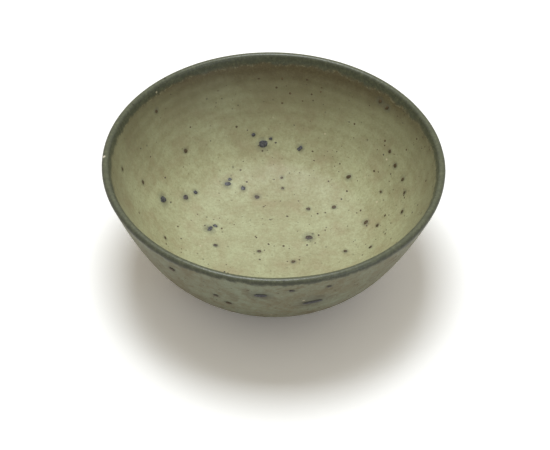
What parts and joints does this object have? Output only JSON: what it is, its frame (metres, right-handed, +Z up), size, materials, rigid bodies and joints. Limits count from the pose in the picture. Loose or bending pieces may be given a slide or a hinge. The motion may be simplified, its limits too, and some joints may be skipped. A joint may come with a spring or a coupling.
{
  "type": "tea bowl",
  "caption": "Round open stoneware tea bowl with flaring walls, a rounded iron-dark lip and a low trimmed foot ring; holds tea or food.",
  "frame": {"origin": "centre of the foot ring's underside, on the surface the bowl stands on", "axes": "+Z up along the bowl's turning axis, from the foot to the open mouth"},
  "size_m": [0.14, 0.14, 0.06],
  "materials": {
    "stoneware_body": "matte",
    "stoneware_foot": "matte",
    "inside_glaze": "satin",
    "outside_glaze": "satin",
    "rim_glaze": "satin"
  },
  "bodies": {
    "root": {"clay_body": "stoneware_body", "foot_ring": "stoneware_foot", "inside_glaze": "inside_glaze", "outside_glaze": "outside_glaze", "rim_glaze": "rim_glaze"}
  },
  "joints": []
}
